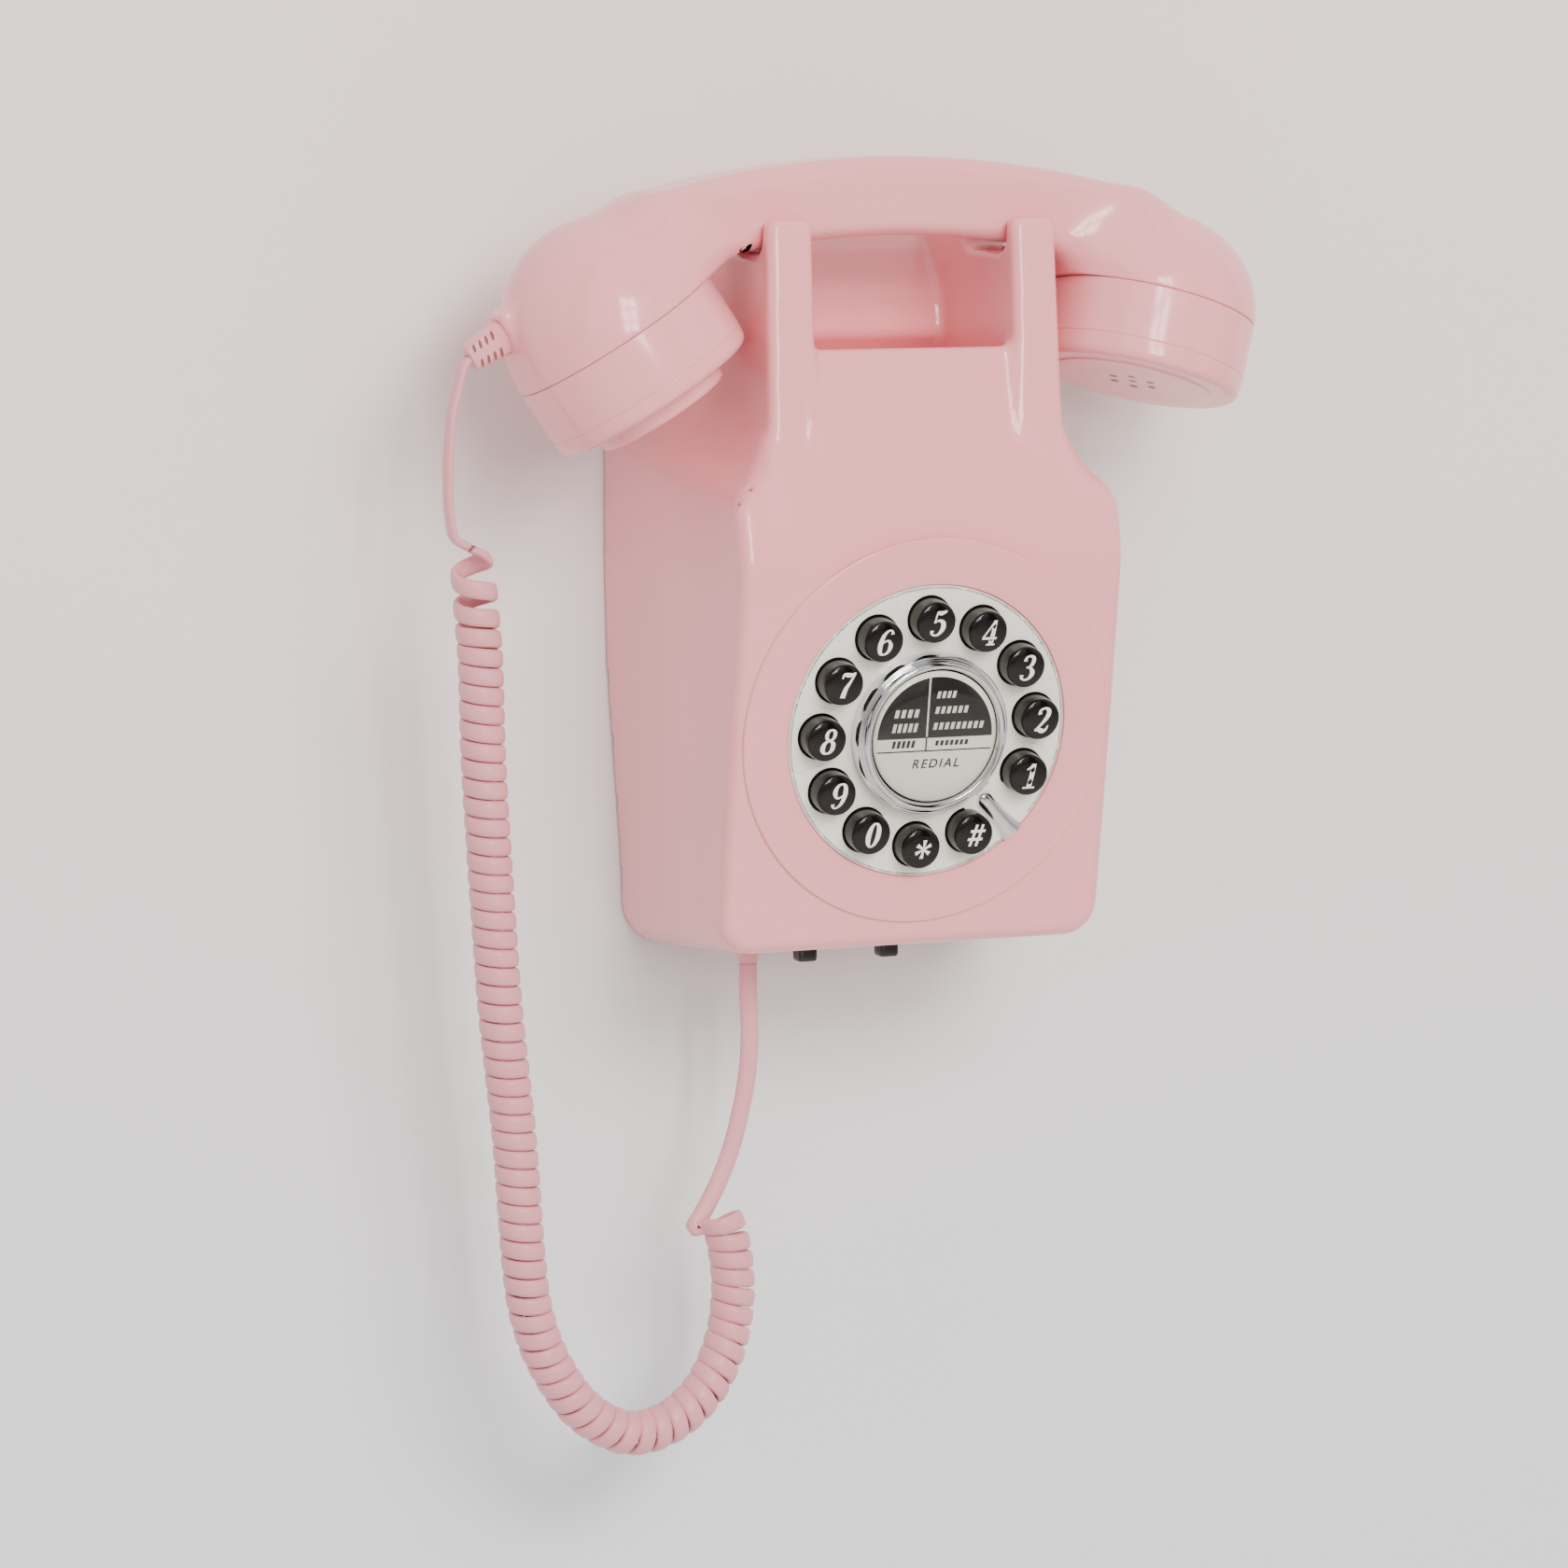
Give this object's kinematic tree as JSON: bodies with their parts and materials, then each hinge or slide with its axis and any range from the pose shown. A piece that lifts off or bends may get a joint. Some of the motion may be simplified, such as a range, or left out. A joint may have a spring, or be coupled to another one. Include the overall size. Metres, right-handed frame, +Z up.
{
  "type": "wall telephone",
  "caption": "Wall telephone: moulded case with a round push-button dial, two-pillar cradle, curved handset that lifts off, hook plungers, slide switches and a curly cord.",
  "frame": {"origin": "on the wall face of the base plate, at the height of the dial's centre, on the case's plane of symmetry", "axes": "+Y into the wall, +Z up, +X to the right when facing the dial"},
  "size_m": [0.2345, 0.0932, 0.351],
  "materials": {
    "case_pink": "gloss injection-moulded ABS",
    "handset_pink": "gloss injection-moulded ABS",
    "cord_pink": "satin flexible PVC",
    "relief_pink": "satin flexible PVC",
    "disc_cream": "gloss printed ABS",
    "key_black": "gloss ABS with printed characters",
    "label_card": "printed card",
    "lens_clear": "clear moulded acrylic",
    "chrome": "bright plated",
    "base_black": "textured ABS",
    "knob_black": "satin ABS",
    "board_green": "glass-fibre laminate",
    "membrane_grey": "moulded silicone rubber",
    "steel": "zinc plated",
    "part_black": "moulded nylon"
  },
  "bodies": {
    "root": {"base_plate": "base_black", "front_case": "case_pink", "cradle_left": "case_pink", "cradle_right": "case_pink", "pocket_front": "case_pink", "pocket_back": "case_pink", "dial_bezel": "case_pink", "dial_plate": "disc_cream", "chrome_ring": "chrome", "finger_stop": "chrome", "keypad_membrane": "membrane_grey", "keypad_board": "board_green", "board_screws": "steel", "main_board": "board_green", "hook_switch": "part_black", "ringer_speaker": "steel", "line_terminals": "part_black", "volume_switch": "part_black", "tone_switch": "part_black", "case_screws": "steel", "cord_gland": "relief_pink", "hook_spring": "steel", "cord_lead": "cord_pink", "cord_coil": "cord_pink", "cord_tail": "cord_pink"},
    "handset": {"handset_shell": "handset_pink", "mouthpiece_cap": "handset_pink", "earpiece_cap": "handset_pink", "microphone": "part_black", "receiver": "part_black", "handset_weight": "steel", "strain_relief": "relief_pink"},
    "hook": {"hook_plunger": "case_pink"},
    "redial_button": {"redial_cap": "key_black", "label_card": "label_card", "redial_lens": "lens_clear"},
    "volume_slider": {"volume_knob": "knob_black"},
    "tone_slider": {"tone_knob": "knob_black"},
    "key_1": {"key_1": "key_black"},
    "key_2": {"key_2": "key_black"},
    "key_3": {"key_3": "key_black"},
    "key_4": {"key_4": "key_black"},
    "key_5": {"key_5": "key_black"},
    "key_6": {"key_6": "key_black"},
    "key_7": {"key_7": "key_black"},
    "key_8": {"key_8": "key_black"},
    "key_9": {"key_9": "key_black"},
    "key_0": {"key_0": "key_black"},
    "key_star": {"key_star": "key_black"},
    "key_hash": {"key_hash": "key_black"}
  },
  "joints": [
    {"name": "handset_lift", "type": "slide", "parent": "root", "child": "handset", "axis": [0, 0, 1], "range_m": [0, 0.07], "deforming": ["cord_lead", "cord_coil"]},
    {"name": "hook_rise", "type": "slide", "parent": "root", "child": "hook", "axis": [0, 0, 1], "range_m": [0, 0.0042], "stiffness_N_per_m": 150, "springref_m": 0.008, "deforming": ["hook_spring"]},
    {"name": "redial_press", "type": "slide", "parent": "root", "child": "redial_button", "axis": [0, 0.9877, 0.1564], "range_m": [0, 0.0015], "stiffness_N_per_m": 400, "springref_m": -0.001},
    {"name": "volume_slide", "type": "slide", "parent": "root", "child": "volume_slider", "axis": [1, 0, 0], "range_m": [-0.0025, 0.0025]},
    {"name": "tone_slide", "type": "slide", "parent": "root", "child": "tone_slider", "axis": [1, 0, 0], "range_m": [-0.0025, 0.0025]},
    {"name": "press_1", "type": "slide", "parent": "root", "child": "key_1", "axis": [0, 0.9877, 0.1564], "range_m": [0, 0.0018], "stiffness_N_per_m": 400, "springref_m": -0.001},
    {"name": "press_2", "type": "slide", "parent": "root", "child": "key_2", "axis": [0, 0.9877, 0.1564], "range_m": [0, 0.0018], "stiffness_N_per_m": 400, "springref_m": -0.001},
    {"name": "press_3", "type": "slide", "parent": "root", "child": "key_3", "axis": [0, 0.9877, 0.1564], "range_m": [0, 0.0018], "stiffness_N_per_m": 400, "springref_m": -0.001},
    {"name": "press_4", "type": "slide", "parent": "root", "child": "key_4", "axis": [0, 0.9877, 0.1564], "range_m": [0, 0.0018], "stiffness_N_per_m": 400, "springref_m": -0.001},
    {"name": "press_5", "type": "slide", "parent": "root", "child": "key_5", "axis": [0, 0.9877, 0.1564], "range_m": [0, 0.0018], "stiffness_N_per_m": 400, "springref_m": -0.001},
    {"name": "press_6", "type": "slide", "parent": "root", "child": "key_6", "axis": [0, 0.9877, 0.1564], "range_m": [0, 0.0018], "stiffness_N_per_m": 400, "springref_m": -0.001},
    {"name": "press_7", "type": "slide", "parent": "root", "child": "key_7", "axis": [0, 0.9877, 0.1564], "range_m": [0, 0.0018], "stiffness_N_per_m": 400, "springref_m": -0.001},
    {"name": "press_8", "type": "slide", "parent": "root", "child": "key_8", "axis": [0, 0.9877, 0.1564], "range_m": [0, 0.0018], "stiffness_N_per_m": 400, "springref_m": -0.001},
    {"name": "press_9", "type": "slide", "parent": "root", "child": "key_9", "axis": [0, 0.9877, 0.1564], "range_m": [0, 0.0018], "stiffness_N_per_m": 400, "springref_m": -0.001},
    {"name": "press_0", "type": "slide", "parent": "root", "child": "key_0", "axis": [0, 0.9877, 0.1564], "range_m": [0, 0.0018], "stiffness_N_per_m": 400, "springref_m": -0.001},
    {"name": "press_star", "type": "slide", "parent": "root", "child": "key_star", "axis": [0, 0.9877, 0.1564], "range_m": [0, 0.0018], "stiffness_N_per_m": 400, "springref_m": -0.001},
    {"name": "press_hash", "type": "slide", "parent": "root", "child": "key_hash", "axis": [0, 0.9877, 0.1564], "range_m": [0, 0.0018], "stiffness_N_per_m": 400, "springref_m": -0.001}
  ],
  "couplings": [
    {"joint": "hook_rise", "follows": "handset_lift", "ratio": 0.057143}
  ]
}
